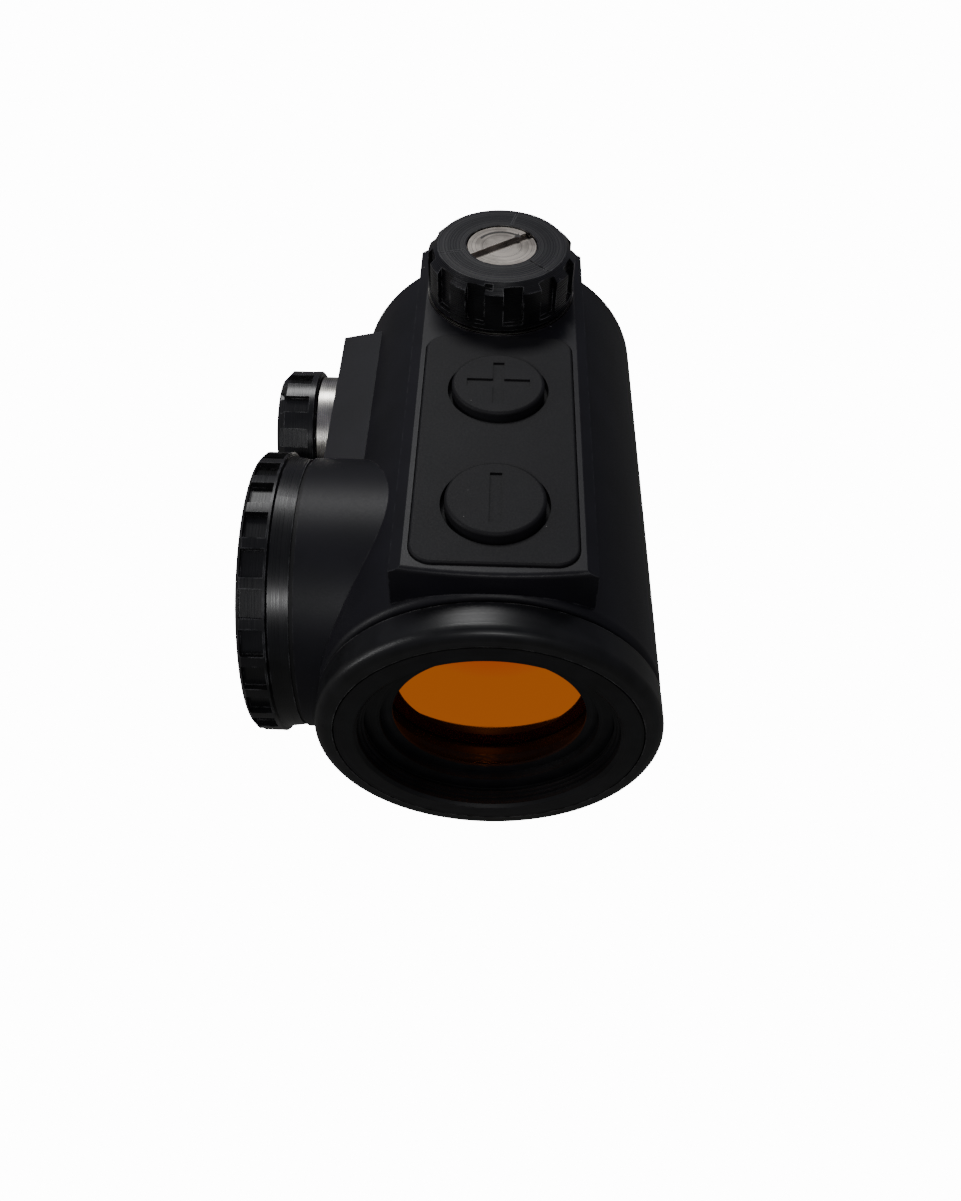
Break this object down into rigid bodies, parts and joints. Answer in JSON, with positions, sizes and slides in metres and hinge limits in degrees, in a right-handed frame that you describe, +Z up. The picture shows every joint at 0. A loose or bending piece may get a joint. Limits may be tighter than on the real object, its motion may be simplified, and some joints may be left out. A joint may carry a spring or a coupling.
{
  "type": "tube reflex red dot sight",
  "caption": "Compact enclosed red dot sight with a coated objective, knob-topped elevation and windage screws, a rubber plus-minus keypad and a side coin-cell cap.",
  "frame": {"origin": "centre of the flat mounting face under the body", "axes": "+Z up, the objective looks along -Y and the eyepiece along +Y, the battery cap and windage knob are on -X"},
  "size_m": [0.0469, 0.063, 0.0494],
  "materials": {
    "housing": "satin black anodised aluminium",
    "black_ring": "satin black anodised aluminium",
    "black_knob": "semi-gloss black anodised aluminium",
    "bare_metal": "worn nickel plate",
    "brass": "turned",
    "steel": "bright",
    "coated_lens": "red-orange reflecting coating",
    "window": "coated clear glass",
    "keypad_rubber": "matt moulded rubber",
    "seal_rubber": "satin",
    "inner_aluminium": "matt black anodised",
    "black_plastic": "matt",
    "circuit_board": "solder mask",
    "emitter": "clear red epoxy"
  },
  "bodies": {
    "sight_body": {"housing": "housing", "front_bezel_ring": "black_ring", "lens_retaining_ring": "black_ring", "objective_front_element": "coated_lens", "objective_rear_element": "coated_lens", "objective_seal": "seal_rubber", "rear_window": "window", "rear_window_seal": "seal_rubber", "rear_retaining_ring": "black_ring", "gimbal_side_pins": "steel", "bias_spring": "steel", "elevation_turret_base": "bare_metal", "elevation_knob_seal": "seal_rubber", "windage_turret_base": "bare_metal", "windage_knob_seal": "seal_rubber", "keypad_mat": "keypad_rubber", "button_board": "circuit_board", "dome_switches": "steel", "board_screws": "steel", "control_board": "circuit_board", "battery_insulator": "black_plastic", "coin_cell": "steel", "battery_minus_contact": "steel", "wire_loom": "black_plastic"},
    "gimbal": {"gimbal_ring": "inner_aluminium", "gimbal_upright_pins": "steel"},
    "inner_tube": {"inner_tube": "inner_aluminium", "emitter_holder": "black_plastic", "led_emitter": "emitter"},
    "elevation_turret": {"elevation_knob": "black_knob", "elevation_adjuster_screw": "bare_metal", "elevation_click_ball": "steel"},
    "elevation_plunger": {"elevation_plunger": "brass"},
    "windage_turret": {"windage_knob": "black_knob", "windage_adjuster_screw": "bare_metal", "windage_click_ball": "steel"},
    "windage_plunger": {"windage_plunger": "brass"},
    "plus_button": {"plus_button": "keypad_rubber"},
    "minus_button": {"minus_button": "keypad_rubber"},
    "battery_seal": {"battery_cap_seal": "seal_rubber"},
    "battery_cap": {"battery_cap": "black_knob", "battery_plus_contact": "steel"}
  },
  "joints": [
    {"name": "elevation_turn", "type": "hinge", "parent": "sight_body", "child": "elevation_turret", "pos_m": [0, 0.0195, 0.046], "axis": [0, 0, 1], "range_deg": [-450.9, 450.9]},
    {"name": "elevation_plunger_slide", "type": "slide", "parent": "sight_body", "child": "elevation_plunger", "axis": [0, 0, 1], "range_m": [-0.00063, 0.00063]},
    {"name": "elevation_tilt", "type": "hinge", "parent": "sight_body", "child": "gimbal", "pos_m": [0, -0.0173, 0.022], "axis": [1, 0, 0], "range_deg": [-0.97, 0.97], "deforming": ["bias_spring"]},
    {"name": "windage_turn", "type": "hinge", "parent": "sight_body", "child": "windage_turret", "pos_m": [-0.026, 0.017, 0.0211], "axis": [-1, 0, 0], "range_deg": [-450.9, 450.9]},
    {"name": "windage_plunger_slide", "type": "slide", "parent": "sight_body", "child": "windage_plunger", "axis": [-1, 0, 0], "range_m": [-0.00063, 0.00063]},
    {"name": "windage_swing", "type": "hinge", "parent": "gimbal", "child": "inner_tube", "pos_m": [0, -0.0173, 0.022], "axis": [0, 0, 1], "range_deg": [-1.05, 1.05]},
    {"name": "plus_button_press", "type": "slide", "parent": "sight_body", "child": "plus_button", "axis": [0, 0, -1], "range_m": [0, 0.0004], "stiffness_N_per_m": 2000},
    {"name": "minus_button_press", "type": "slide", "parent": "sight_body", "child": "minus_button", "axis": [0, 0, -1], "range_m": [0, 0.0004], "stiffness_N_per_m": 2000},
    {"name": "battery_cap_slide", "type": "slide", "parent": "sight_body", "child": "battery_seal", "axis": [-1, 0, 0], "range_m": [0, 0.00401]},
    {"name": "battery_cap_turn", "type": "hinge", "parent": "battery_seal", "child": "battery_cap", "pos_m": [-0.025, -0.0101, 0.0205], "axis": [-1, 0, 0], "range_deg": [0, 1440]}
  ],
  "couplings": [
    {"joint": "elevation_turn", "follows": "elevation_plunger_slide", "rad_per_m": 12566},
    {"joint": "elevation_tilt", "follows": "elevation_plunger_slide", "rad_per_m": 27.174},
    {"joint": "windage_turn", "follows": "windage_plunger_slide", "rad_per_m": 12566},
    {"joint": "windage_swing", "follows": "windage_plunger_slide", "rad_per_m": 29.155},
    {"joint": "battery_cap_slide", "follows": "battery_cap_turn", "m_per_rad": 0.00015915}
  ]
}
